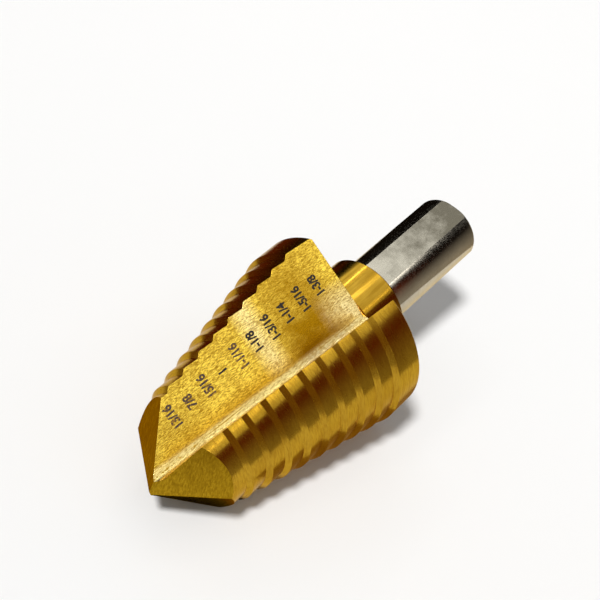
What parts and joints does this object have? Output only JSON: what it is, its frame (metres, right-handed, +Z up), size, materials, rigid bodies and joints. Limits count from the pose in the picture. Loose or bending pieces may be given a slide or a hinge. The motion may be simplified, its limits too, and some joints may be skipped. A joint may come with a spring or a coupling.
{
  "type": "step drill",
  "caption": "Stepped conical sheet-metal drill with straight flutes, a ground point, a collar and a three-flat shank, lying on its side.",
  "frame": {"origin": "on the floor, under the middle of the tool's outline as it lies at rest", "axes": "+Z up from the floor; +X along the tool, level, from the point towards the end of the shank; the tool axis leans so that the point is the lower end"},
  "size_m": [0.0776, 0.035, 0.0307],
  "materials": {
    "coated_steel": "ground high-speed steel with a gold nitride coating on the body, point and collar; the shank is bare brushed steel"
  },
  "bodies": {
    "root": {"step_drill": "coated_steel"}
  },
  "joints": []
}
